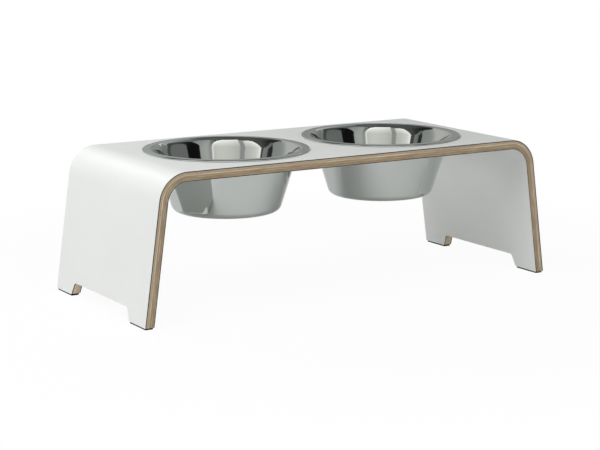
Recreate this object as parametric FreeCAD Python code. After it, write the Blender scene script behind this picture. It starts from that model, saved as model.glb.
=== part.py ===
import FreeCAD, Part
import math
import os

# Dog feeding station: a bench bent from laminated veneers that carries two lipped steel bowls.
# Millimetres and degrees. X runs along the bench, -Y is its front edge, +Z is up.
# The origin is on the floor, under the middle of the deck.

# Bowls
rim_diameter = 210.0
bowl_depth = 79.7
flange_width = 8.9
lip_radius = 4.0
flare_radius = 40.0
flare_height = 12.1
wall_lean = 17.6
base_corner_radius = 11.0
sheet_thickness = 0.8
hem_width = 6.2
hem_gap = 0.8

# Deck: how the bowls sit in it, and how far it runs on around their rims
rim_gap = 24.0
side_margin = 16.3
front_margin = 19.5
cutout_clearance = 2.0
deck_height = 182.7

# Shell: layers from the outer face inwards, and the bends into the legs
laminate_thickness = 0.9
veneer_thickness = 1.5
veneer_count = 7
inner_bend_radius = 25.7
leg_splay = 8.0

# Feet: what the notch leaves standing at each end of a leg, and the pads under it
foot_length = 43.5
foot_corner_radius = 2.5
notch_height = 15.7
notch_flare = 6.5
notch_corner_radius = 5.5
pad_thickness = 2.0
pad_inset = 1.0
pad_corner_radius = 1.5

# Sizes that follow from the ones above
rim_radius = rim_diameter / 2
bowl_spacing = rim_diameter + rim_gap
bench_depth = rim_diameter + 2 * front_margin
shell_thickness = 2 * laminate_thickness + veneer_count * veneer_thickness
outer_bend_radius = inner_bend_radius + shell_thickness
splay = math.radians(leg_splay)
corner_run = (1 - math.sin(splay)) / math.cos(splay)
flat_half_length = bowl_spacing / 2 + rim_radius + side_margin
corner_half_length = flat_half_length + outer_bend_radius * corner_run
hem_height = 2 * sheet_thickness + hem_gap
rim_height = deck_height + hem_height
level_lean = math.pi / 2
lean = math.radians(wall_lean)
flare_lean = math.asin((flare_height + flare_radius * math.sin(lean) - lip_radius) / (flare_radius - lip_radius))
flare_start_height = rim_height - flare_height
flare_start_radius = (rim_radius - flange_width - lip_radius * math.cos(flare_lean)
                      - flare_radius * (math.cos(lean) - math.cos(flare_lean)))
flare_centre_height = flare_start_height - flare_radius * math.sin(lean)
flare_centre_radius = flare_start_radius + flare_radius * math.cos(lean)
wall_radius_at_deck = flare_centre_radius - math.sqrt(
    (flare_radius - sheet_thickness) ** 2 - (deck_height - flare_centre_height) ** 2)
cutout_radius = wall_radius_at_deck + cutout_clearance
sole_height = pad_thickness

UP = FreeCAD.Vector(0, 0, 1)


def rounded_wire(corners):
    """Closed wire through corners, each a (point, radius) pair; a radius turns the corner into a tangent arc."""
    stops = []
    for index, (point, radius) in enumerate(corners):
        if radius == 0:
            stops.append((point, point, point))
            continue
        to_last = (corners[index - 1][0] - point).normalize()
        to_next = (corners[(index + 1) % len(corners)][0] - point).normalize()
        half_angle = to_last.getAngle(to_next) / 2
        run = radius / math.tan(half_angle)
        inward = (to_last + to_next).normalize()
        middle = point + inward * (radius / math.sin(half_angle) - radius)
        stops.append((point + to_last * run, middle, point + to_next * run))
    edges = []
    for index, (start, middle, end) in enumerate(stops):
        if not start.isEqual(end, Part.Precision.confusion()):
            edges.append(Part.Arc(start, middle, end).toShape())
        next_start = stops[(index + 1) % len(stops)][0]
        if not end.isEqual(next_start, Part.Precision.confusion()):
            edges.append(Part.LineSegment(end, next_start).toShape())
    return Part.Wire(edges)


def leg_x(inset, height):
    """Half length of the bench at a height on the leg, measured to a layer that lies inset from the outer face."""
    corner_x = corner_half_length - inset * corner_run
    return corner_x + (deck_height - inset - height) * math.tan(splay)


def bent_line(inset):
    """Corners of the bench's profile from the left floor line to the right one, at an inset from the outer face."""
    corner_x = corner_half_length - inset * corner_run
    radius = outer_bend_radius - inset
    half = [(corner_x, deck_height - inset, radius), (leg_x(inset, 0), 0, 0)]
    mirrored = [(-x, z, bend) for x, z, bend in reversed(half)]
    return [(FreeCAD.Vector(x, -bench_depth / 2, z), bend) for x, z, bend in mirrored + half]


def foot_trim():
    """What is sawn off under the legs: the floor gap below the soles, and the notch between the feet."""
    sole_half = bench_depth / 2 - foot_length
    ceiling_half = sole_half - notch_flare
    ceiling = sole_height + notch_height
    past_edge = bench_depth / 2 + foot_length
    half = [
        (ceiling_half, ceiling, notch_corner_radius),
        (sole_half, sole_height, foot_corner_radius),
        (past_edge, sole_height, 0),
        (past_edge, -sole_height, 0),
    ]
    reach = leg_x(0, -sole_height)
    mirrored = [(-y, z, radius) for y, z, radius in reversed(half)]
    corners = [(FreeCAD.Vector(-reach, y, z), radius) for y, z, radius in mirrored + half]
    return Part.Face(rounded_wire(corners)).extrude(FreeCAD.Vector(2 * reach, 0, 0))


def deck_cutouts():
    """Two round plugs, one for each bowl, as tall as the bench."""
    plugs = []
    for side in (-1, 1):
        centre = FreeCAD.Vector(side * bowl_spacing / 2, 0, 0)
        plugs.append(Part.makeCylinder(cutout_radius, 2 * deck_height, centre, UP))
    return plugs


def shell_layer(inset, thickness):
    """One bent layer of the shell, trimmed at the feet and cut out for the bowls."""
    outline = bent_line(inset) + bent_line(inset + thickness)[::-1]
    blank = Part.Face(rounded_wire(outline)).extrude(FreeCAD.Vector(0, bench_depth, 0))
    return blank.cut([foot_trim()] + deck_cutouts()).Solids[0]


def shell_layers():
    """All layers by name, from the outer face inwards; each starts where the last one ends."""
    thicknesses = {"outer_laminate": laminate_thickness}
    for number in range(1, veneer_count + 1):
        thicknesses[f"veneer_{number}"] = veneer_thickness
    thicknesses["inner_laminate"] = laminate_thickness
    layers = {}
    inset = 0.0
    for name, thickness in thicknesses.items():
        layers[name] = shell_layer(inset, thickness)
        inset += thickness
    return layers


def underside(corner, lean_before, lean_after):
    """The corner one sheet thickness below a corner of the bowl's inside, between two leans from upright."""
    before = FreeCAD.Vector(math.cos(lean_before), 0, -math.sin(lean_before))
    after = FreeCAD.Vector(math.cos(lean_after), 0, -math.sin(lean_after))
    return corner + (before + after) * (sheet_thickness / (1 + before.dot(after)))


def bowl(side):
    """A spun bowl: flat base, leaning wall that flares into a rounded lip, and a flange rolled under at its edge."""
    floor_height = rim_height - bowl_depth + sheet_thickness
    floor_radius = flare_start_radius - (flare_start_height - floor_height) * math.tan(lean)
    flare_run = flare_radius * math.tan((flare_lean - lean) / 2)
    flare_corner_radius = flare_start_radius + flare_run * math.sin(lean)
    flare_corner_height = flare_start_height + flare_run * math.cos(lean)
    lip_run = lip_radius * math.tan((level_lean - flare_lean) / 2)
    hem_start = rim_radius - hem_width

    floor_corner = FreeCAD.Vector(floor_radius, 0, floor_height)
    flare_corner = FreeCAD.Vector(flare_corner_radius, 0, flare_corner_height)
    lip_corner = FreeCAD.Vector(rim_radius - flange_width - lip_run, 0, rim_height)
    hem = [
        (rim_radius - sheet_thickness, rim_height - sheet_thickness, hem_gap / 2),
        (rim_radius - sheet_thickness, deck_height + sheet_thickness, hem_gap / 2),
        (hem_start, deck_height + sheet_thickness, 0),
        (hem_start, deck_height, 0),
        (rim_radius, deck_height, hem_height / 2),
        (rim_radius, rim_height, hem_height / 2),
    ]
    profile = [
        (FreeCAD.Vector(0, 0, floor_height - sheet_thickness), 0),
        (underside(floor_corner, level_lean, lean), base_corner_radius),
        (underside(flare_corner, lean, flare_lean), flare_radius - sheet_thickness),
        (underside(lip_corner, flare_lean, level_lean), lip_radius - sheet_thickness),
    ]
    profile += [(FreeCAD.Vector(r, 0, z), radius) for r, z, radius in hem]
    profile += [
        (lip_corner, lip_radius),
        (flare_corner, flare_radius),
        (floor_corner, base_corner_radius - sheet_thickness),
        (FreeCAD.Vector(0, 0, floor_height), 0),
    ]
    centre = FreeCAD.Vector(side * bowl_spacing / 2, 0, 0)
    corners = [(centre + point, radius) for point, radius in profile]
    return Part.Face(rounded_wire(corners)).revolve(centre, UP, 360)


def foot_pad(side, end):
    """A thin pad under one foot, set in from the edges of its sole."""
    inner_x = leg_x(shell_thickness, sole_height) + pad_inset
    outer_x = leg_x(0, sole_height) - pad_inset
    near_y = bench_depth / 2 - foot_length + pad_inset
    far_y = bench_depth / 2 - pad_inset
    places = [(inner_x, near_y), (outer_x, near_y), (outer_x, far_y), (inner_x, far_y)]
    corners = [(FreeCAD.Vector(side * x, end * y, 0), pad_corner_radius) for x, y in places]
    return Part.Face(rounded_wire(corners)).extrude(UP * pad_thickness)


parts = shell_layers()
for side, side_name in ((-1, "left"), (1, "right")):
    parts[f"bowl_{side_name}"] = bowl(side)
    for end, end_name in ((-1, "front"), (1, "back")):
        parts[f"foot_pad_{end_name}_{side_name}"] = foot_pad(side, end)

os.makedirs("parts", exist_ok=True)
for name, shape in parts.items():
    shape.exportStep(f"parts/{name}.step")
    box = shape.optimalBoundingBox()
    size = f"{box.XLength:.1f} x {box.YLength:.1f} x {box.ZLength:.1f} mm"
    print(f"{name}: {size}, {shape.Volume:.0f} mm3, valid {shape.isValid()}")
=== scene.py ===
"""Looks and plain studio for a dog feeding station: a bent white bench that carries two steel bowls.

Laid out as an add-on and run as a script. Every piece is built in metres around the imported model's frame.
"""
import math
from functools import partial

import bpy
from bpy.props import FloatProperty, FloatVectorProperty, PointerProperty
from mathutils import Matrix, Vector


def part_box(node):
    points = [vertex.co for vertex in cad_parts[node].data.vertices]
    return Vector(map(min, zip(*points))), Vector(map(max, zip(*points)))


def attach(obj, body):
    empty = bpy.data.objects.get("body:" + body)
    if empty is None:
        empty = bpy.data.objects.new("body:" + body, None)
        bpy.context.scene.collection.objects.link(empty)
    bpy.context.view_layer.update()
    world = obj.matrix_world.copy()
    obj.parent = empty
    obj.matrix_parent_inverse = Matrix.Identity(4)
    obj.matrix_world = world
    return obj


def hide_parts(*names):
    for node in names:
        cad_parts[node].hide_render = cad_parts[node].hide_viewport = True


bl_info = {
    "name": "Dog Feeding Station",
    "version": (1, 0, 0),
    "blender": (4, 5, 0),
    "location": "View3D > Sidebar > Feeding Station",
    "description": "Builds a bent bench, its lift-out bowls and a plain studio around the packed model",
    "category": "Object",
}

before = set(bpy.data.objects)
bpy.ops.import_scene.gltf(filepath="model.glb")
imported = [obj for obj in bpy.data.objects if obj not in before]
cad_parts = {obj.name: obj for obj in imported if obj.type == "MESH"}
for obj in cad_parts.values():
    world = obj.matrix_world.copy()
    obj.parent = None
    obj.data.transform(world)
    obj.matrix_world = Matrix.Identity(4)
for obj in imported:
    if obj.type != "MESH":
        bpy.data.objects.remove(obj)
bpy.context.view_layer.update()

VENEERS = sorted(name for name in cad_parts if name.startswith("veneer_"))
PADS = sorted(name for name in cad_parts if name.startswith("foot_pad_"))
BOWLS = ("bowl_left", "bowl_right")

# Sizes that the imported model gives, in metres
SHELL_LOW, SHELL_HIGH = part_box("outer_laminate")
BOWL_LOW, BOWL_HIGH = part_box("bowl_right")
DECK_HEIGHT = SHELL_HIGH.z
HALF_DEPTH = SHELL_HIGH.y
SOLE_HEIGHT = SHELL_LOW.z
RIM_HEIGHT = BOWL_HIGH.z
RIM_RADIUS = (BOWL_HIGH.x - BOWL_LOW.x) / 2
BOWL_X = (BOWL_HIGH.x + BOWL_LOW.x) / 2
BOWL_DEPTH = RIM_HEIGHT - BOWL_LOW.z
VENEER_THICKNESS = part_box(VENEERS[0])[1].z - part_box(VENEERS[1])[1].z
LAMINATE_THICKNESS = DECK_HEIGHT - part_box(VENEERS[0])[1].z

UP = Vector((0, 0, 1))


def length(name, description, default):
    """A size in metres."""
    return FloatProperty(name=name, description=description, default=default, min=0.0, precision=5,
                         subtype="DISTANCE", unit="LENGTH")


def angle(name, description, default):
    """An angle, given in degrees."""
    return FloatProperty(name=name, description=description, default=math.radians(default), subtype="ANGLE",
                         unit="ROTATION")


def colour(name, description, default):
    """A linear colour."""
    return FloatVectorProperty(name=name, description=description, default=default, size=3, min=0.0, max=1.0,
                               subtype="COLOR")


def level(name, description, default):
    """A plain amount."""
    return FloatProperty(name=name, description=description, default=default, min=0.0)


class BenchSizes(bpy.types.PropertyGroup):
    """Sizes of the bent bench."""

    deck_height: length("Deck Height", "Top of the deck above the floor", DECK_HEIGHT)
    half_depth: length("Half Depth", "Middle of the deck to its front edge", HALF_DEPTH)
    flat_half_length: length("Flat Half Length", "Middle of the deck to where it starts to bend", 0.2383)
    bend_radius: length("Bend Radius", "Radius of the outer face in the bends", 0.038)
    leg_splay: angle("Leg Splay", "How far the legs lean out", 8.0)
    cutout_radius: length("Cut-out Radius", "Radius of the holes that take the bowls", 0.09532)
    foot_length: length("Foot Length", "Length of each foot on the floor", 0.0435)
    foot_corner: length("Foot Corner", "Radius at the foot's inner corner", 0.0025)
    notch_height: length("Notch Height", "Height of the notch between the feet", 0.0157)
    notch_flare: length("Notch Flare", "How far the notch's side leans in", 0.0065)
    notch_corner: length("Notch Corner", "Radius at the notch's upper corners", 0.0055)
    edge_ease: length("Eased Edge", "Width of the eased edge around the white faces", 0.0003)
    pad_edge: length("Pad Edge", "Rounding around the sole of a foot pad", 0.0002)


class BowlSizes(bpy.types.PropertyGroup):
    """Sizes of the spun bowls."""

    rim_radius: length("Rim Radius", "Outer radius of the rolled rim", RIM_RADIUS)
    rim_height: length("Rim Height", "Top of the rim above the floor", RIM_HEIGHT)
    depth: length("Depth", "Rim to the underside of the base", BOWL_DEPTH)
    flange_width: length("Flange Width", "Rim's edge to where the lip turns down", 0.0089)
    lip_radius: length("Lip Radius", "Radius of the lip", 0.004)
    flare_radius: length("Flare Radius", "Radius of the flare below the lip", 0.04)
    flare_height: length("Flare Height", "Rim to the bottom of the flare", 0.0121)
    wall_lean: angle("Wall Lean", "Lean of the wall from upright", 17.6)
    base_corner: length("Base Corner", "Outer radius between base and wall", 0.011)
    sheet: length("Sheet", "Thickness of the steel", 0.0008)
    hem_width: length("Hem Width", "Width of the rolled hem under the rim", 0.0062)
    hem_gap: length("Hem Gap", "Gap inside the rolled hem", 0.0008)


class FinishColours(bpy.types.PropertyGroup):
    """Colours of the finishes."""

    laminate: colour("White Laminate", "Faces of the bench", (0.84, 0.855, 0.835))
    core: colour("Laminate Core", "Cut edge of the laminate", (0.018, 0.015, 0.011))
    side_grain: colour("Side Grain", "Veneer edges cut along the grain", (0.65, 0.52, 0.365))
    end_grain: colour("End Grain", "Veneer edges cut across the grain", (0.46, 0.368, 0.255))
    inner_wood: colour("Inner Wood", "Darker wood of the inner veneers", (0.31, 0.228, 0.139))
    # Pale wood painted onto faces that look down, a painted lift in place of the light that they miss
    downward_lift_wood: colour("Raw Wood", "Freshly sawn wood in the notches", (0.84, 0.72, 0.55))
    glue: colour("Glue Line", "Thin lines between the veneers", (0.045, 0.038, 0.028))
    steel: colour("Bowl Steel", "Polished steel of the bowls", (0.588, 0.616, 0.594))
    rubber: colour("Pad Rubber", "Pads under the feet", (0.006, 0.006, 0.006))
    floor: colour("Floor", "Studio floor", (0.9, 0.9, 0.9))


class StudioSettings(bpy.types.PropertyGroup):
    """Camera and lamps."""

    camera_turn: angle("Camera Turn", "Camera's angle around the bench", -31.7115)
    camera_rise: angle("Camera Rise", "Camera's angle above the floor", 11.065)
    camera_distance: length("Camera Distance", "Camera to its aim", 2.2918)
    aim: FloatVectorProperty(name="Aim", description="Point that the camera looks at", size=3,
                             default=(-0.008033, 0.0, 0.074967), subtype="TRANSLATION", unit="LENGTH")
    focal_length: FloatProperty(name="Focal Length", description="Lens in millimetres on a 36 mm sensor",
                                default=105.963, min=1.0)
    ambient: level("Ambient", "Even light from all around", 0.1)
    lamps: level("Lamps", "Level of all lamps together", 1.0)


# Meshes

# Digits of a metre that points are rounded to, so that those that meet become one
POINT_DIGITS = 7

# Steps around a spun bowl, degrees between points on its section's arcs, and a run too short for a face
SPIN_STEPS = 240
SECTION_STEP = 4.0
SHORTEST_RUN = 1e-7


class MeshMaker:
    """Gathers faces with a normal at each corner and a finish number, and turns them into one mesh."""

    def __init__(self):
        self.index = {}
        self.points = []
        self.faces = []
        self.normals = []
        self.finishes = []

    def face(self, corners, normals, finish=0):
        """Adds a face through corners, turned to the side that its normals point to."""
        numbers, kept = [], []
        for corner, normal in zip(corners, normals):
            key = tuple(round(v, POINT_DIGITS) for v in corner)
            if key not in self.index:
                self.index[key] = len(self.points)
                self.points.append(key)
            if self.index[key] not in numbers:
                numbers.append(self.index[key])
                kept.append(Vector(normal).normalized())
        if len(numbers) < 3:
            return
        flat = Vector((0, 0, 0))
        first = Vector(self.points[numbers[0]])
        for a, b in zip(numbers[1:], numbers[2:]):
            flat += (Vector(self.points[a]) - first).cross(Vector(self.points[b]) - first)
        if flat.dot(sum(kept, Vector((0, 0, 0)))) < 0:
            numbers.reverse()
            kept.reverse()
        self.faces.append(numbers)
        self.normals += kept
        self.finishes.append(finish)

    def piece(self, name, materials):
        """The finished object, in the scene."""
        mesh = bpy.data.meshes.new(name)
        mesh.from_pydata(self.points, [], self.faces)
        mesh.shade_smooth()
        mesh.polygons.foreach_set("material_index", self.finishes)
        mesh.normals_split_custom_set([tuple(n) for n in self.normals])
        for material in materials:
            mesh.materials.append(material)
        mesh.validate(clean_customdata=False)
        return place(bpy.data.objects.new(name, mesh))


def place(thing):
    """Puts an object into the scene."""
    bpy.context.scene.collection.objects.link(thing)
    return thing


def rounded_path(corners, step):
    """Points of an open path with the direction at each, through corners of (across, up, radius).

    A radius turns its corner into a tangent arc with a point about every step degrees. A corner without one
    comes twice, once with each direction.
    """
    spots = [Vector(c[:2]) for c in corners]
    path = [(spots[0], (spots[1] - spots[0]).normalized())]
    for before, spot, after, (_, _, radius) in zip(spots, spots[1:], spots[2:], corners[1:-1]):
        coming, going = (spot - before).normalized(), (after - spot).normalized()
        turn = coming.angle_signed(going)
        if radius == 0:
            path += [(spot, coming), (spot, going)]
            continue
        run = radius * math.tan(abs(turn) / 2)
        count = max(2, math.ceil(abs(math.degrees(turn)) / step))
        side = Vector((-coming.y, coming.x)) * math.copysign(radius, -turn)
        middle = spot - coming * run + side
        for n in range(count + 1):
            turned = Matrix.Rotation(-turn * n / count, 2)
            path.append((middle - turned @ side, turned @ coming))
    path.append((spots[-1], (spots[-1] - spots[-2]).normalized()))
    return path


def divided(path, longest):
    """The path with points added on its straight runs, none longer than longest."""
    fine = [path[0]]
    for (start, _), (end, heading) in zip(path, path[1:]):
        parts = max(1, math.ceil((end - start).length / longest))
        fine += [(start.lerp(end, n / parts), heading) for n in range(1, parts)]
        fine.append((end, heading))
    return fine


class Bench:
    """Where the bench's layers run: a flat deck with two holes, two bends and two splayed legs."""

    BEND_STEPS = 24
    EDGE_STEPS = 24
    FOOT_ARC_STEP = 10.0
    FOOT_RUN = 0.012

    def __init__(self, sizes):
        self.sizes = sizes
        self.splay = sizes.leg_splay
        self.centre_z = sizes.deck_height - sizes.bend_radius
        self.leg_normal = Vector((math.cos(self.splay), 0, math.sin(self.splay)))
        sole_end = sizes.half_depth - sizes.foot_length
        notch_end = sole_end - sizes.notch_flare
        ceiling = SOLE_HEIGHT + sizes.notch_height
        half = [(notch_end, ceiling, sizes.notch_corner), (sole_end, SOLE_HEIGHT, sizes.foot_corner),
                (sizes.half_depth, SOLE_HEIGHT, 0)]
        corners = [(-y, z, radius) for y, z, radius in reversed(half)] + half
        self.foot_line = divided(rounded_path(corners, self.FOOT_ARC_STEP), self.FOOT_RUN)
        flat, depth = sizes.flat_half_length, sizes.half_depth
        self.steps = [flat * n / self.EDGE_STEPS for n in range(self.EDGE_STEPS + 1)]
        across = [spot.x for spot, _ in self.foot_line]
        ring = [(flat, y) for y in across] + [(x, depth) for x in reversed(self.steps[:-1])]
        ring += [(0.0, y) for y in reversed(across[:-1])] + [(x, -depth) for x in self.steps[1:-1]]
        self.ring = ring
        self.spokes = [Vector((x - BOWL_X, y, 0)).normalized() for x, y in ring]

    def bend(self, row, inset):
        """Point and outward normal on a layer's bend; row 0 is at the deck, the last row at the leg."""
        turn = (math.pi / 2 - self.splay) * row / self.BEND_STEPS
        normal = Vector((math.sin(turn), 0, math.cos(turn)))
        reach = self.sizes.bend_radius - inset
        return Vector((self.sizes.flat_half_length, 0, self.centre_z)) + normal * reach, normal

    def leg(self, y, z, inset):
        """Point of a layer on the leg at a height."""
        end, _ = self.bend(self.BEND_STEPS, inset)
        return Vector((end.x + (end.z - z) * math.tan(self.splay), y, z))

    def inside(self, y, ease):
        """y kept clear of the front and back edges by the eased width."""
        limit = self.sizes.half_depth - ease
        return max(-limit, min(limit, y))

    def hole_edge(self, number, inset, ease):
        """Place, wall normal and face normal at one point around a hole."""
        spoke = self.spokes[number % len(self.spokes)]
        spot = spoke * (self.sizes.cutout_radius + ease)
        return spot + Vector((BOWL_X, 0, self.sizes.deck_height - inset)), -spoke, UP

    def long_edge(self, number, inset, ease, end):
        """The same along the front or back edge, from the deck's middle round the bend to the foot."""
        y = end * (self.sizes.half_depth - ease)
        wall = Vector((0, end, 0))
        if number < len(self.steps):
            return Vector((self.steps[number], y, self.sizes.deck_height - inset)), wall, UP
        row = number - len(self.steps) + 1
        if row <= self.BEND_STEPS:
            spot, normal = self.bend(row, inset)
            return Vector((spot.x, y, spot.z)), wall, normal
        return self.leg(y, SOLE_HEIGHT + ease, inset), wall, self.leg_normal

    def foot_edge(self, number, inset, ease):
        """The same along the foot of the leg, from the front to the back."""
        spot, heading = self.foot_line[number]
        y, z = spot.x - heading.y * ease, spot.y + heading.x * ease
        return self.leg(self.inside(y, ease), z, inset), Vector((0, heading.y, -heading.x)), self.leg_normal

    def face(self, mesh, side, inset, ease, sign):
        """One face of a layer on one half of the bench."""
        def put(corners, normals):
            flip = Vector((side, 1, 1))
            mesh.face([c * flip for c in corners], [n * flip * sign for n in normals])

        height = self.sizes.deck_height - inset
        count = len(self.ring)
        for n in range(count):
            near, far = self.ring[n], self.ring[(n + 1) % count]
            outer = [Vector((x, self.inside(y, ease), height)) for x, y in (near, far)]
            inner = [self.hole_edge(k, inset, ease)[0] for k in (n + 1, n)]
            put(outer + inner, [UP] * 4)
        for (first, _), (second, _) in zip(self.foot_line, self.foot_line[1:]):
            ys = [self.inside(spot.x, ease) for spot in (first, second)]
            for row in range(self.BEND_STEPS):
                (high, high_normal), (low, low_normal) = self.bend(row, inset), self.bend(row + 1, inset)
                put([Vector((high.x, ys[0], high.z)), Vector((high.x, ys[1], high.z)),
                     Vector((low.x, ys[1], low.z)), Vector((low.x, ys[0], low.z))],
                    [high_normal, high_normal, low_normal, low_normal])
        end, _ = self.bend(self.BEND_STEPS, inset)
        for n in range(len(self.foot_line) - 1):
            ys = [self.inside(self.foot_line[k][0].x, ease) for k in (n, n + 1)]
            feet = [self.foot_edge(k, inset, ease)[0] for k in (n + 1, n)]
            put([Vector((end.x, ys[0], end.z)), Vector((end.x, ys[1], end.z)), *feet], [self.leg_normal] * 4)

    def edges(self, mesh, side, start, finish, eases, number):
        """Cut edges of a layer on one half of the bench, with an eased strip where a face asks for one."""
        flip = Vector((side, 1, 1))
        outer, inner = eases
        strips = [((start + outer, 0.0), (finish - inner, 0.0), 0, number)]
        if outer:
            strips.append(((start, outer), (start + outer, 0.0), 1, 0))
        if inner:
            strips.append(((finish - inner, 0.0), (finish, inner), -1, 0))
        last = len(self.steps) + self.BEND_STEPS
        runs = [(len(self.ring), self.hole_edge), (len(self.foot_line) - 1, self.foot_edge)]
        runs += [(last, partial(self.long_edge, end=end)) for end in (-1, 1)]
        for count, edge in runs:
            for k in range(count):
                for high, low, lean, cut in strips:
                    spots = [edge(k, *high), edge(k + 1, *high), edge(k + 1, *low), edge(k, *low)]
                    mesh.face([s[0] * flip for s in spots], [(s[1] + s[2] * lean) * flip for s in spots], cut)

    def layer(self, mesh, start, finish, eases=(0.0, 0.0), edge_finish=0):
        """A whole layer between two depths below the outer face."""
        for side in (-1, 1):
            self.face(mesh, side, start, eases[0], 1)
            self.face(mesh, side, finish, eases[1], -1)
            self.edges(mesh, side, start, finish, eases, edge_finish)


def bowl_profile(sizes):
    """Corners of the bowl's section from the base's middle, under the rim, round the hem and back inside."""
    level_lean = math.pi / 2
    lean, rim, sheet = sizes.wall_lean, sizes.rim_radius, sizes.sheet
    top, low = sizes.rim_height, sizes.rim_height - sizes.depth
    hem_low = top - 2 * sheet - sizes.hem_gap
    flare_lean = math.asin((sizes.flare_height + sizes.flare_radius * math.sin(lean) - sizes.lip_radius)
                           / (sizes.flare_radius - sizes.lip_radius))
    start = Vector((rim - sizes.flange_width - sizes.lip_radius * math.cos(flare_lean)
                    - sizes.flare_radius * (math.cos(lean) - math.cos(flare_lean)), top - sizes.flare_height))
    flare_run = sizes.flare_radius * math.tan((flare_lean - lean) / 2)
    lip_run = sizes.lip_radius * math.tan((level_lean - flare_lean) / 2)
    floor = Vector((start.x - (start.y - low - sheet) * math.tan(lean), low + sheet))
    flare = start + Vector((math.sin(lean), math.cos(lean))) * flare_run
    lip = Vector((rim - sizes.flange_width - lip_run, top))

    def under(corner, before, after):
        first = Vector((math.cos(before), -math.sin(before)))
        second = Vector((math.cos(after), -math.sin(after)))
        return corner + (first + second) * (sheet / (1 + first.dot(second)))

    hem_nose = (top - hem_low) / 2
    return [
        (0.0, low, 0.0),
        (*under(floor, level_lean, lean), sizes.base_corner),
        (*under(flare, lean, flare_lean), sizes.flare_radius - sheet),
        (*under(lip, flare_lean, level_lean), sizes.lip_radius - sheet),
        (rim - sheet, top - sheet, sizes.hem_gap / 2),
        (rim - sheet, hem_low + sheet, sizes.hem_gap / 2),
        (rim - sizes.hem_width, hem_low + sheet, 0.0),
        (rim - sizes.hem_width, hem_low, 0.0),
        (rim, hem_low, hem_nose),
        (rim, top, hem_nose),
        (*lip, sizes.lip_radius),
        (*flare, sizes.flare_radius),
        (*floor, sizes.base_corner - sheet),
        (0.0, low + sheet, 0.0),
    ]


def spun(mesh, path, middle):
    """A path of (radius, height) turned around an upright line through middle."""
    turns = [2 * math.pi * n / SPIN_STEPS for n in range(SPIN_STEPS)]
    rays = [Vector((math.cos(a), math.sin(a), 0)) for a in turns]
    for (near, near_way), (far, far_way) in zip(path, path[1:]):
        if (far - near).length < SHORTEST_RUN:
            continue
        for ray, following in zip(rays, rays[1:] + rays[:1]):
            spots = [(ray, near, near_way), (following, near, near_way),
                     (following, far, far_way), (ray, far, far_way)]
            mesh.face([middle + r * spot.x + UP * spot.y for r, spot, _ in spots],
                      [r * way.y - UP * way.x for r, _, way in spots])


# Finishes

class Value:
    """A node's output. Arithmetic on numbers adds Math nodes."""

    def __init__(self, graph, socket):
        self.graph = graph
        self.socket = socket

    def math(self, operation, *others):
        """Any other Math operation, with this value first."""
        return self.graph.math(operation, self, *others)

    def __add__(self, other):
        return self.math("ADD", other)

    def __sub__(self, other):
        return self.math("SUBTRACT", other)

    def __rsub__(self, other):
        return self.graph.math("SUBTRACT", other, self)

    def __mul__(self, other):
        return self.math("MULTIPLY", other)

    def __truediv__(self, other):
        return self.math("DIVIDE", other)

    def __rtruediv__(self, other):
        return self.graph.math("DIVIDE", other, self)

    def __abs__(self):
        return self.math("ABSOLUTE")

    __radd__ = __add__
    __rmul__ = __mul__


class Graph:
    """A node tree that is being filled."""

    def __init__(self, tree):
        self.tree = tree
        tree.nodes.clear()

    def add(self, kind, settings=None, sockets=None, output=0):
        """Adds a node, sets it up, fills its sockets with values or links, and gives one output, if any."""
        node = self.tree.nodes.new(kind)
        for name, value in (settings or {}).items():
            setattr(node, name, value)
        for name, value in (sockets or {}).items():
            if isinstance(value, Value):
                self.tree.links.new(value.socket, node.inputs[name])
            else:
                node.inputs[name].default_value = value
        return Value(self, node.outputs[output]) if node.outputs else None

    def math(self, operation, *values):
        """A Math node on values and numbers."""
        return self.add("ShaderNodeMath", {"operation": operation}, dict(enumerate(values)))

    def step(self, value, start, end):
        """0 below start and 1 above end, eased between; start may be above end."""
        return self.add("ShaderNodeMapRange", {"interpolation_type": "SMOOTHSTEP"},
                        {"Value": value, "From Min": start, "From Max": end})

    def mix(self, factor, first, second):
        """A colour between two colours."""
        shades = [(*c, 1.0) if not isinstance(c, Value) else c for c in (first, second)]
        return self.add("ShaderNodeMix", {"data_type": "RGBA"}, {0: factor, 6: shades[0], 7: shades[1]}, 2)

    def place(self):
        """Coordinates in metres, as x, y and z."""
        spot = self.add("ShaderNodeTexCoord", output="Object")
        return [self.add("ShaderNodeSeparateXYZ", sockets={0: spot}, output=axis) for axis in range(3)]

    def vector(self, x, y, z):
        """Three values as one vector."""
        return self.add("ShaderNodeCombineXYZ", sockets={0: x, 1: y, 2: z})

    def noise(self, vector, scale=1.0, detail=2.0, roughness=0.5):
        """Soft noise between 0 and 1, with scale waves to the metre."""
        sockets = {"Vector": vector, "Scale": scale, "Detail": detail, "Roughness": roughness}
        return self.add("ShaderNodeTexNoise", sockets=sockets)

    def bump(self, height, strength, distance):
        """A normal that follows a height."""
        sockets = {"Height": height, "Strength": strength, "Distance": distance}
        return self.add("ShaderNodeBump", sockets=sockets)

    def rays(self):
        """Whether a ray comes from the camera, off a mirror or through glass, each as 0 or 1."""
        names = ("Is Camera Ray", "Is Glossy Ray", "Is Transmission Ray")
        return [self.add("ShaderNodeLightPath", output=name) for name in names]

    def principled(self, **sockets):
        """A principled shader; its sockets are named in small letters with underscores."""
        named = {}
        for key, value in sockets.items():
            name = key.replace("_", " ").title().replace("Ior", "IOR")
            plain = name.endswith("Color") and not isinstance(value, Value)
            named[name] = (*value, 1.0) if plain else value
        return self.add("ShaderNodeBsdfPrincipled", sockets=named)

    def surface(self, **sockets):
        """Ends a material's tree in a principled shader with these sockets."""
        self.add("ShaderNodeOutputMaterial", sockets={"Surface": self.principled(**sockets)})


def new_finish(name):
    """An empty material and its graph."""
    material = bpy.data.materials.new(name)
    material.use_nodes = True
    return material, Graph(material.node_tree)


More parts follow.
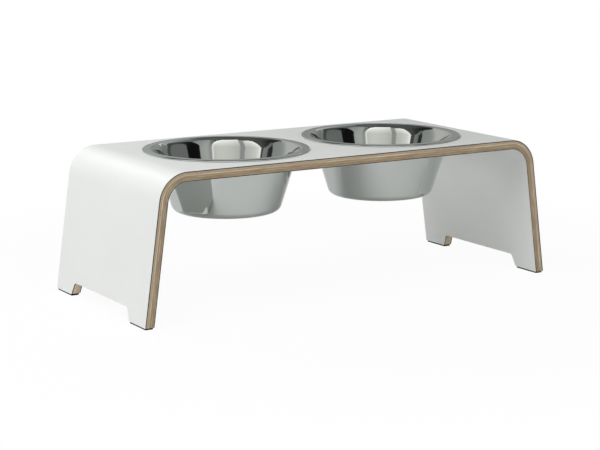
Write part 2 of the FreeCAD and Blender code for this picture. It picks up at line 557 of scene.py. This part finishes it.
def laminate_finish(colours):
    """Satin white laminate: a fine pearl in the press plate, and a trace of cloudiness in the white."""
    material, graph = new_finish("white_laminate")
    spot = graph.vector(*graph.place())
    cloud = graph.noise(spot, scale=14.0, detail=3.0)
    pearl = graph.noise(spot, scale=1100.0, roughness=0.6)
    white = Vector(colours.laminate)
    base = graph.mix(graph.step(cloud, 0.3, 0.7), white * 0.985, white)
    graph.surface(base_color=base, roughness=0.40 + 0.06 * cloud + 0.05 * pearl, ior=1.48,
                  normal=graph.bump(pearl, strength=0.12, distance=0.00012))
    return material


def core_finish(colours):
    """Cut edge of the laminate: dark pressed paper in fine layers with sawn fluff."""
    material, graph = new_finish("laminate_core")
    spot = graph.vector(*graph.place())
    sheets = graph.noise(spot, scale=2400.0, roughness=0.7)
    fluff = graph.noise(spot, scale=260.0, detail=3.0, roughness=0.6)
    dark = Vector(colours.core)
    base = graph.mix(sheets * 0.7 + fluff * 0.3, dark * 0.55, dark * 1.6)
    graph.surface(base_color=base, roughness=0.55 + 0.2 * fluff,
                  normal=graph.bump(sheets, strength=0.25, distance=0.0001))
    return material


def shell_place(graph, bench):
    """How far along the bend, across the bench and below the outer face a point of the shell lies."""
    x, y, z = graph.place()
    lean_in, lean_down = math.sin(bench.splay), math.cos(bench.splay)
    beyond = abs(x) - bench.sizes.flat_half_length
    above = z - bench.centre_z
    leg = (beyond * lean_in - above * lean_down).math("MAXIMUM", 0.0)
    out = (beyond - leg * lean_in).math("MAXIMUM", 0.0)
    up = above + leg * lean_down
    depth = bench.sizes.bend_radius - (out * out + up * up).math("SQRT")
    turn = out.math("ARCTAN2", up)
    along = abs(x).math("MINIMUM", bench.sizes.flat_half_length) + turn * bench.sizes.bend_radius + leg
    return along * x.math("SIGN"), y, depth


# Grain of the veneers, as waves to the metre along the fibre, across it and through the shell, and how far
# the grain moves on from one veneer to the next
STREAK_WAVES = (14.0, 900.0, 1500.0)
PORE_WAVES = (30.0, 1600.0, 2200.0)
GRAIN_SHIFT = 0.37

# Bands of darker wood: waves to the metre along the bend, across the bench and through the shell, and depth
BAND_WAVES = (40.0, 40.0, 640.0)
BAND_DEPTH = 0.7

# Where the wood turns darker and where glue has soaked in, in veneers from the outer laminate
DARKER_WOOD = ((3.0, 3.5, 0.7), (5.0, 5.5, 0.14))
OUTER_SOAK = (0.3, 0.75)
INNER_SOAK = (6.55, 6.85)

# How much of the glue's colour shows where it has soaked in, what of that at the inner side, and in the lines
SOAK_SHARE = 0.93
INNER_SOAK_SHARE = 0.4
LINE_SHARE = 0.6

# Painted light: faces that look down, as in the notches and under the feet, are painted paler in place of the
# light that they miss: how far a face has to look down for that to start and be full, and share
DOWNWARD_LIFT_LEAN = (-0.15, -0.3)
DOWNWARD_LIFT_SHARE = 0.5


def grain(graph, spot, waves, shift, detail, roughness):
    """Noise that is drawn out by the waves on each axis of spot."""
    first, second, third = [part * wave for part, wave in zip(spot, waves)]
    return graph.noise(graph.vector(first + shift, second, third), detail=detail, roughness=roughness)


def veneer_finish(colours, bench, across):
    """Veneer edges: streaked side grain or pored end grain, darker inner sheets, and glue at the joints."""
    material, graph = new_finish("veneer_cross_grain" if across else "veneer_long_grain")
    along, y, depth = shell_place(graph, bench)
    ply = (depth - LAMINATE_THICKNESS) / VENEER_THICKNESS
    number = ply.math("FLOOR")
    within = ply - number
    fibre, cross = (y, along) if across else (along, y)
    shift = number * GRAIN_SHIFT
    normal = graph.add("ShaderNodeNewGeometry", output="Normal")
    ahead, rising = [graph.add("ShaderNodeSeparateXYZ", sockets={0: normal}, output=axis) for axis in (1, 2)]
    facing = abs(ahead)
    end_cut = graph.step(facing if across else 1.0 - facing, 0.25, 0.75)
    # Painted light: faces that look down are lifted towards pale wood in place of the light that they miss
    downward_lift = graph.step(rising, *DOWNWARD_LIFT_LEAN) * DOWNWARD_LIFT_SHARE

    streak = grain(graph, (fibre, cross, depth), STREAK_WAVES, shift, detail=3.0, roughness=0.6)
    pore = grain(graph, (fibre, cross, depth), PORE_WAVES, shift, detail=2.0, roughness=0.7)
    band = grain(graph, (along, y, depth), BAND_WAVES, shift, detail=3.0, roughness=0.6)

    side, end, inner = Vector(colours.side_grain), Vector(colours.end_grain), Vector(colours.inner_wood)
    sawn = graph.mix(graph.step(streak, 0.28, 0.72), side * 0.5, side * 1.36)
    cut = graph.mix(graph.step(pore, 0.35, 0.65), end * 0.68, end * 1.2)
    wood = graph.mix(end_cut, sawn, cut)
    darker = (graph.step(band, 0.35, 0.65) - 0.5) * BAND_DEPTH
    for start, full, share in DARKER_WOOD:
        darker = darker + graph.step(ply, start, full) * share
    wood = graph.mix(darker, wood, inner)
    wood = graph.mix(downward_lift, wood, Vector(colours.downward_lift_wood))
    near = 1.0 - abs(within - 0.5) * 2.0
    line = 1.0 - graph.step(near + (streak - 0.5) * 0.1, 0.08, 0.24)
    soaked = 1.0 - graph.step(ply, *OUTER_SOAK)
    soaked = soaked.math("MAXIMUM", graph.step(ply, *INNER_SOAK) * INNER_SOAK_SHARE)
    base = graph.mix((line * LINE_SHARE).math("MAXIMUM", soaked * SOAK_SHARE), wood, Vector(colours.glue))
    relief = streak * (1.0 - end_cut) + pore * end_cut - line * 0.6
    graph.surface(base_color=base, roughness=0.52 + 0.16 * streak, ior=1.45,
                  normal=graph.bump(relief, strength=0.35, distance=0.00012))
    return material


def steel_finish(colours):
    """Polished spun steel: faint turning marks around the bowl and a soft polish that wanders a little."""
    material, graph = new_finish("bowl_steel")
    x, y, z = graph.place()
    beside = abs(x) - BOWL_X
    radius = (beside * beside + y * y).math("SQRT")
    marks = graph.noise(graph.vector(radius, z, 0.0), scale=2600.0, detail=3.0, roughness=0.65)
    haze = graph.noise(graph.vector(x, y, z), scale=38.0, detail=3.0, roughness=0.55)
    steel = Vector(colours.steel)
    base = graph.mix(haze * 0.5 + marks * 0.5, steel * 0.97, steel * 1.03)
    graph.surface(base_color=base, metallic=1.0, roughness=0.03 + 0.03 * haze + 0.025 * marks,
                  normal=graph.bump(marks, strength=0.015, distance=0.00005))
    return material


def rubber_finish(colours):
    """Matt moulded rubber with a fine grain and a little dust."""
    material, graph = new_finish("foot_pad")
    spot = graph.vector(*graph.place())
    pebble = graph.noise(spot, scale=2600.0, roughness=0.6)
    dust = graph.noise(spot, scale=180.0, detail=3.0, roughness=0.6)
    dark = Vector(colours.rubber)
    base = graph.mix(graph.step(dust, 0.45, 0.8), dark, dark * 2.4)
    graph.surface(base_color=base, roughness=0.72 + 0.2 * pebble, specular_ior_level=0.1,
                  normal=graph.bump(pebble, strength=0.4, distance=0.0001))
    return material


# Studio

# Cards that the steel mirrors; later ones stand nearer. Each has the level at its upper edge as a share of
# that at its lower edge, and columns of: degrees to the right of the camera, degrees above the floor to the
# lower and to the upper edge, and level.
CARDS = {
    "ceiling": (3.6, ((-180, 0, 90, 0.02), (-160, 0, 90, 0.04), (-130, 0, 90, 0.04), (-90, 0, 90, 0.05),
                      (-50, 0, 90, 0.06), (-22, 0, 90, 0.045), (4, 0, 90, 0.05), (24, 0, 90, 0.07),
                      (60, 0, 90, 0.065), (110, 0, 90, 0.05), (150, 0, 90, 0.035), (180, 0, 90, 0.02))),
    "right_wall": (0.6, ((58, 0, 62, 0.22), (86, 0, 70, 0.29), (110, 0, 70, 0.44), (126, 0, 69, 0.56),
                         (140, 0, 67, 0.65), (150, 0, 61, 0.68), (158, 0, 56, 0.70), (166, 0, 51, 0.70),
                         (174, 0, 44, 0.52), (180, 0, 39, 0.36))),
    "left_wall": (0.97, ((-180, 0, 33, 0.33), (-172, 0, 36, 0.43), (-160, 0, 41, 0.52), (-140, 0, 44, 0.63),
                         (-130, 0, 43.5, 0.65), (-122, 0, 40.5, 0.65), (-112, 0, 36, 0.60))),
    "dark_gap": (1.3, ((-118, 37, 45, 0.03), (-110, 30, 47, 0.02), (-100, 0, 47, 0.02), (-86, 0, 46, 0.025),
                       (-72, 0, 45, 0.045), (-66, 0, 44, 0.08), (-56, 0, 38, 0.085))),
    "slanted_screen": (1.0, ((-89, 33, 38, 0.16), (-83, 27, 35, 0.20), (-75, 20, 28, 0.24),
                             (-70, 16, 24, 0.29), (-65, 12, 21.5, 0.34))),
    "left_screen": (0.9, ((-117, 0, 34, 0.58), (-112, 0, 36, 0.50), (-107, 0, 36.5, 0.42), (-97, 0, 37, 0.39),
                          (-90, 0, 35, 0.38), (-87, 0, 30, 0.37), (-85, 0, 22, 0.36))),
    "light_panel": (0.85, ((26, 0, 53, 0.60), (42, 0, 53.5, 0.56), (48, 0, 53, 0.49), (58, 0, 51.5, 0.46),
                           (68, 0, 46, 0.41))),
    "panel_gap": (0.35, ((26, 0, 52, 0.54), (33, 0, 52, 0.54))),
    "divider": (1.05, ((-34, 0, 51, 0.40), (-22, 0, 53, 0.40))),
    "left_window_edge": (1.1, ((-62.5, 0, 20, 1.1), (-60, 0, 28, 1.15), (-56.5, 0, 37, 1.2),
                               (-51, 0, 46, 1.2), (-42, 0, 49.5, 1.15), (-32, 0, 49, 1.0))),
    "left_window": (2.1, ((-60, 0, 21, 0.62), (-57, 0, 29, 0.63), (-53.5, 0, 37, 0.64), (-47, 0, 44.5, 0.62),
                          (-40, 0, 47.5, 0.57), (-32, 0, 47, 0.51))),
    "right_window_edge": (1.1, ((-23.5, 0, 54.5, 1.2), (10, 0, 54.5, 1.35), (20, 0, 51, 1.4),
                                (25, 0, 45, 1.2), (27, 0, 36, 0.9), (26, 0, 25, 0.7))),
    "right_window": (2.1, ((-23.5, 0, 51, 0.51), (-10, 0, 51, 0.59), (6, 0, 51, 0.64), (16, 0, 47.5, 0.62),
                           (21.5, 0, 42, 0.54), (24.5, 0, 35, 0.50), (23.5, 0, 25, 0.50))),
    "black_flag": (1.0, ((48.5, 0, 21, 0.008), (49.5, 0, 31, 0.008), (52, 0, 35, 0.008), (56, 0, 39, 0.008),
                         (62, 0, 42, 0.008), (70, 0, 44.5, 0.008), (80, 0, 44.5, 0.02), (90, 0, 42.5, 0.06),
                         (100, 0, 39.5, 0.09), (110, 0, 36, 0.09), (118, 0, 33, 0.09), (122, 0, 30, 0.1))),
    "grey_screen": (0.92, ((73, 0, 22, 0.21), (76, 0, 30, 0.21), (79, 0, 35, 0.21), (88, 0, 36.5, 0.21),
                           (100, 0, 34.5, 0.21), (110.5, 0, 30, 0.205))),
    "grey_screen_side": (0.85, ((110.5, 0, 31, 0.13), (114, 0, 31, 0.10), (118, 0, 30.5, 0.11),
                                (121, 0, 28, 0.13))),
    "low_wall": (1.25, ((119, 0, 26, 0.24), (127, 0, 26, 0.24), (134, 0, 26.5, 0.26), (142, 0, 27, 0.33),
                        (150, 0, 29, 0.36), (160, 0, 29.5, 0.35), (170, 0, 30, 0.33), (180, 0, 30, 0.30))),
    "right_glint": (1.0, ((136, 20.5, 25, 0.85), (142, 23, 28.5, 0.92), (150, 27, 32.5, 0.9),
                          (158, 28.5, 33, 0.75), (168, 28, 32, 0.6))),
    "right_skirting": (1.0, ((128, 1, 8, 0.10), (136, 1, 10.5, 0.05), (144, 1, 12, 0.03), (152, 1, 10, 0.03),
                             (160, 1, 7.5, 0.04), (166, 1, 5, 0.1))),
    "left_skirting": (1.0, ((-170, 1, 5.5, 0.25), (-160, 1, 8, 0.14), (-148, 1, 10, 0.08), (-138, 1, 9, 0.06),
                            (-128, 1, 6, 0.08))),
}

# Metres to the furthest card and between cards, degrees between columns, and rows up a card
CARD_DISTANCE = 9.0
CARD_SPACING = 0.1
CARD_STEP = 2.0
CARD_ROWS = 16

# Tints of dim and of bright cards, and the levels between which one turns into the other
COOL_CARD = (0.97, 1.0, 0.985)
WARM_CARD = (1.025, 1.0, 0.965)
CARD_WARMS = (0.35, 0.75)

# Lamps: watts, place and width of the square
LAMPS = {
    "key_lamp": (8.2, (-0.9, 0.0, 1.2), 0.8),
    "top_lamp": (8.5, (-0.2, 0.1, 2.2), 1.8),
    "high_front_lamp": (9.2, (-1.0, -1.0, 2.0), 0.9),
    "front_lamp": (15.0, (1.3, -2.0, 0.5), 1.0),
    "low_lamp": (14.0, (-1.0, -2.4, 0.35), 1.0),
    "back_left_lamp": (18.4, (-1.2, 2.2, 0.45), 0.9),
    "right_lamp": (1.0, (2.4, 0.3, 0.6), 1.2),
}
# A lamp for the sheen along the bends, which only the white faces take
GLOSS_LAMP = (4.0, (-0.45, 1.67, 1.27), 0.5)
SENSOR_WIDTH = 36.0
WHITE_FACES = ("laminate_outer", "laminate_inner")
LAMP_AIM = Vector((0, 0, 0.1))

# Floor: its size and sides, where the bench's shadow runs out, and the share of plain white near the bench
# that the camera and that mirrors see
FLOOR_RADIUS = 8.8
FLOOR_SIDES = 96
SHADOW_ENDS = (0.33, 0.85)
FLOOR_SEEN = 0.95
FLOOR_MIRRORED = 0.07


def card_finish():
    """A glow at the level that the card's points carry; it lights nothing by itself."""
    material, graph = new_finish("studio_card")
    glow = graph.add("ShaderNodeAttribute", {"attribute_name": "level"}, output="Fac")
    tint = graph.mix(graph.step(glow, *CARD_WARMS), COOL_CARD, WARM_CARD)
    tinted = graph.add("ShaderNodeVectorMath", {"operation": "SCALE"}, {"Vector": tint, "Scale": glow})
    graph.surface(base_color=(0.0, 0.0, 0.0), specular_ior_level=0.0, emission_color=tinted,
                  emission_strength=1.0)
    material.cycles.emission_sampling = "NONE"
    return material


def direction(turn, rise):
    """Unit vector at degrees around from the front, to the right, and degrees above the floor."""
    a, e = math.radians(turn), math.radians(rise)
    return Vector((math.sin(a) * math.cos(e), -math.cos(a) * math.cos(e), math.sin(e)))


def card(name, share, outline, distance, camera_turn, finish):
    """A standing card around the bench that only mirrors see."""
    columns = []
    for start, end in zip(outline, outline[1:]):
        parts = max(1, math.ceil((end[0] - start[0]) / CARD_STEP))
        columns += [[a + (b - a) * n / parts for a, b in zip(start, end)] for n in range(parts)]
    columns.append(outline[-1])
    points, levels, faces = [], [], []
    for turn, low, high, glow in columns:
        for row in range(CARD_ROWS + 1):
            part = row / CARD_ROWS
            points.append(direction(turn + camera_turn, low + (high - low) * part) * distance)
            levels.append(glow * (1 + (share - 1) * part ** 2))
    row_count = CARD_ROWS + 1
    for column in range(len(columns) - 1):
        for row in range(CARD_ROWS):
            corner = column * row_count + row
            faces.append((corner, corner + 1, corner + row_count + 1, corner + row_count))
    mesh = bpy.data.meshes.new("card_" + name)
    mesh.from_pydata(points, [], faces)
    mesh.attributes.new("level", "FLOAT", "POINT").data.foreach_set("value", levels)
    mesh.materials.append(finish)
    piece = place(bpy.data.objects.new("card_" + name, mesh))
    piece.visible_camera = piece.visible_diffuse = piece.visible_shadow = False
    piece.visible_transmission = piece.visible_volume_scatter = False


def lamp(name, power, spot, size, mirrored=False):
    """A soft square lamp that faces the bench; only a mirrored one shows in gloss."""
    data = bpy.data.lights.new(name, "AREA")
    data.energy = power
    data.shape = "SQUARE"
    data.size = size
    thing = place(bpy.data.objects.new(name, data))
    thing.location = spot
    thing.rotation_euler = (LAMP_AIM - thing.location).to_track_quat("-Z", "Y").to_euler()
    thing.visible_glossy = mirrored
    return thing


def floor_finish(colours):
    """Pale floor that takes the bench's shadow near it and runs out to white for the camera."""
    material, graph = new_finish("studio_floor")
    x, y, z = graph.place()
    far = graph.step((x * x + y * y).math("SQRT"), *SHADOW_ENDS)
    camera, glossy, through = graph.rays()
    near = camera * FLOOR_SEEN + (glossy + through) * FLOOR_MIRRORED
    seen = (camera + glossy + through).math("MINIMUM", 1.0)
    speckle = graph.noise(graph.vector(x, y, z), scale=60.0, detail=3.0)
    pale = Vector(colours.floor)
    paint = graph.principled(base_color=graph.mix(speckle, pale * 0.99, pale), roughness=1.0,
                             specular_ior_level=0.0)
    white = graph.add("ShaderNodeEmission", sockets={"Strength": 1.0})
    shader = graph.add("ShaderNodeMixShader", sockets={0: near + (seen - near) * far, 1: paint, 2: white})
    graph.add("ShaderNodeOutputMaterial", sockets={"Surface": shader})
    material.cycles.emission_sampling = "NONE"
    return material


def studio_world(ambient):
    """White for the camera, mirrors and glass, and an even soft light for everything else."""
    world = bpy.data.worlds.new("studio")
    world.use_nodes = True
    graph = Graph(world.node_tree)
    camera, glossy, through = graph.rays()
    seen = (camera + glossy + through).math("MINIMUM", 1.0)
    soft = graph.add("ShaderNodeBackground", sockets={"Strength": ambient})
    white = graph.add("ShaderNodeBackground", sockets={"Strength": 1.0})
    shader = graph.add("ShaderNodeMixShader", sockets={0: seen, 1: soft, 2: white})
    graph.add("ShaderNodeOutputWorld", sockets={"Surface": shader})
    bpy.context.scene.world = world


def studio_camera(studio):
    """The camera at its angle, aimed at the bench."""
    data = bpy.data.cameras.new("camera")
    data.sensor_fit = "HORIZONTAL"
    data.sensor_width = SENSOR_WIDTH
    data.lens = studio.focal_length
    camera = place(bpy.data.objects.new("camera", data))
    back = direction(math.degrees(studio.camera_turn), math.degrees(studio.camera_rise))
    camera.location = Vector(studio.aim) + back * studio.camera_distance
    camera.rotation_euler = (-back).to_track_quat("-Z", "Y").to_euler()
    return camera


# Operators

class STATION_OT_laminates(bpy.types.Operator):
    """Build the white laminate on both faces of the bench"""

    bl_idname = "station.laminates"
    bl_label = "Build Laminates"

    # Node, piece, and share of the eased edge on its outer and on its inner face
    PIECES = (("outer_laminate", "laminate_outer", 1, 0), ("inner_laminate", "laminate_inner", 0, 1 / 3))

    def execute(self, context):
        sizes, colours = context.scene.station_bench, context.scene.station_finish
        bench = Bench(sizes)
        finishes = [laminate_finish(colours), core_finish(colours)]
        for node, name, outer_ease, inner_ease in self.PIECES:
            start = sizes.deck_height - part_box(node)[1].z
            mesh = MeshMaker()
            eases = (sizes.edge_ease * outer_ease, sizes.edge_ease * inner_ease)
            bench.layer(mesh, start, start + LAMINATE_THICKNESS, eases, 1)
            piece = mesh.piece(name, finishes)
            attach(piece, "station")
            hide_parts(node)
        return {"FINISHED"}


class STATION_OT_veneers(bpy.types.Operator):
    """Build the veneers between the laminates"""

    bl_idname = "station.veneers"
    bl_label = "Build Veneers"

    def execute(self, context):
        sizes, colours = context.scene.station_bench, context.scene.station_finish
        bench = Bench(sizes)
        finishes = [veneer_finish(colours, bench, across) for across in (False, True)]
        for number, node in enumerate(VENEERS):
            start = sizes.deck_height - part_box(node)[1].z
            mesh = MeshMaker()
            bench.layer(mesh, start, start + VENEER_THICKNESS)
            piece = mesh.piece(node + "_sheet", [finishes[number % 2]])
            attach(piece, "station")
            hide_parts(node)
        return {"FINISHED"}


class STATION_OT_bowls(bpy.types.Operator):
    """Build the two spun bowls"""

    bl_idname = "station.bowls"
    bl_label = "Build Bowls"

    def execute(self, context):
        path = rounded_path(bowl_profile(context.scene.station_bowl), SECTION_STEP)
        finish = steel_finish(context.scene.station_finish)
        for node in BOWLS:
            low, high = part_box(node)
            mesh = MeshMaker()
            spun(mesh, path, Vector(((low.x + high.x) / 2, (low.y + high.y) / 2, 0)))
            piece = mesh.piece(node + "_spun", [finish])
            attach(piece, node)
            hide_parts(node)
        return {"FINISHED"}


class STATION_OT_pads(bpy.types.Operator):
    """Build the pads under the feet"""

    bl_idname = "station.pads"
    bl_label = "Build Foot Pads"

    CORNER = 0.0015
    CORNER_STEPS = 6
    EDGE_STEPS = 4

    def outline(self, low, high, inset):
        """Points and outward normals around a pad, drawn in by inset."""
        radius = self.CORNER
        places = []
        corners = ((high.x, high.y), (low.x, high.y), (low.x, low.y), (high.x, low.y))
        for quarter, (x, y) in enumerate(corners):
            sign = (1 if x == high.x else -1, 1 if y == high.y else -1)
            middle = Vector((x - sign[0] * radius, y - sign[1] * radius, 0))
            for n in range(self.CORNER_STEPS + 1):
                a = math.pi / 2 * (quarter + n / self.CORNER_STEPS)
                way = Vector((math.cos(a), math.sin(a), 0))
                places.append((middle + way * (radius - inset), way))
        return places

    def execute(self, context):
        round_over = context.scene.station_bench.pad_edge
        finish = rubber_finish(context.scene.station_finish)
        for node in PADS:
            low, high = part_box(node)
            rings = [(high.z, 0.0, 0.0)]
            for n in range(self.EDGE_STEPS + 1):
                a = math.pi / 2 * n / self.EDGE_STEPS
                rings.append((low.z + round_over * (1 - math.sin(a)), round_over * (1 - math.cos(a)), a))
            mesh = MeshMaker()
            lines = []
            for z, inset, a in rings:
                around = self.outline(low, high, inset)
                lines.append([(p + UP * z, way * math.cos(a) - UP * math.sin(a)) for p, way in around])
            for upper, lower in zip(lines, lines[1:]):
                for k in range(len(upper)):
                    following = (k + 1) % len(upper)
                    spots = [upper[k], upper[following], lower[following], lower[k]]
                    mesh.face([s[0] for s in spots], [s[1] for s in spots])
            mesh.face([p for p, _ in lines[0]], [UP] * len(lines[0]))
            mesh.face([p for p, _ in lines[-1]], [-UP] * len(lines[-1]))
            piece = mesh.piece(node + "_moulded", [finish])
            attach(piece, "station")
            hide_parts(node)
        return {"FINISHED"}


class STATION_OT_studio(bpy.types.Operator):
    """Build the floor, the lamps, the cards that the steel mirrors, and the camera"""

    bl_idname = "station.studio"
    bl_label = "Build Studio"

    def execute(self, context):
        studio, colours = context.scene.station_studio, context.scene.station_finish
        mesh = MeshMaker()
        ring = [direction(360 * n / FLOOR_SIDES, 0) * FLOOR_RADIUS for n in range(FLOOR_SIDES)]
        mesh.face(ring, [UP] * len(ring))
        mesh.piece("floor", [floor_finish(colours)])
        camera_turn = math.degrees(studio.camera_turn)
        finish = card_finish()
        for number, (name, (share, outline)) in enumerate(CARDS.items()):
            card(name, share, outline, CARD_DISTANCE - CARD_SPACING * number, camera_turn, finish)
        studio_world(studio.ambient)
        for name, (power, spot, size) in LAMPS.items():
            lamp(name, power * studio.lamps, spot, size)
        power, spot, size = GLOSS_LAMP
        gloss = lamp("gloss_lamp", power * studio.lamps, spot, size, mirrored=True)
        gloss.light_linking.receiver_collection = bpy.data.collections.new("white_faces")
        for name in WHITE_FACES:
            gloss.light_linking.receiver_collection.objects.link(bpy.data.objects[name])
        context.scene.camera = studio_camera(studio)
        context.scene.view_settings.view_transform = "Standard"
        return {"FINISHED"}


class STATION_PT_builder(bpy.types.Panel):
    """Sizes, colours and steps of the feeding station"""

    bl_label = "Feeding Station"
    bl_idname = "STATION_PT_builder"
    bl_space_type = "VIEW_3D"
    bl_region_type = "UI"
    bl_category = "Feeding Station"

    def draw(self, context):
        for operator in OPERATORS:
            self.layout.operator(operator.bl_idname)
        for name, (_, title) in SETTINGS.items():
            box = self.layout.box()
            box.label(text=title)
            group = getattr(context.scene, name)
            for key in group.bl_rna.properties.keys():
                if key not in ("rna_type", "name"):
                    box.prop(group, key)


SETTINGS = {
    "station_bench": (BenchSizes, "Bench"),
    "station_bowl": (BowlSizes, "Bowls"),
    "station_finish": (FinishColours, "Finishes"),
    "station_studio": (StudioSettings, "Studio"),
}
OPERATORS = (STATION_OT_laminates, STATION_OT_veneers, STATION_OT_bowls, STATION_OT_pads, STATION_OT_studio)


def register():
    for name, (group, _) in SETTINGS.items():
        bpy.utils.register_class(group)
        setattr(bpy.types.Scene, name, PointerProperty(type=group))
    for kind in (*OPERATORS, STATION_PT_builder):
        bpy.utils.register_class(kind)


def unregister():
    for kind in (STATION_PT_builder, *reversed(OPERATORS)):
        bpy.utils.unregister_class(kind)
    for name, (group, _) in reversed(SETTINGS.items()):
        delattr(bpy.types.Scene, name)
        bpy.utils.unregister_class(group)


def main():
    register()
    bpy.ops.station.laminates()
    bpy.ops.station.veneers()
    bpy.ops.station.bowls()
    bpy.ops.station.pads()
    bpy.ops.station.studio()


if __name__ == "__main__":
    main()
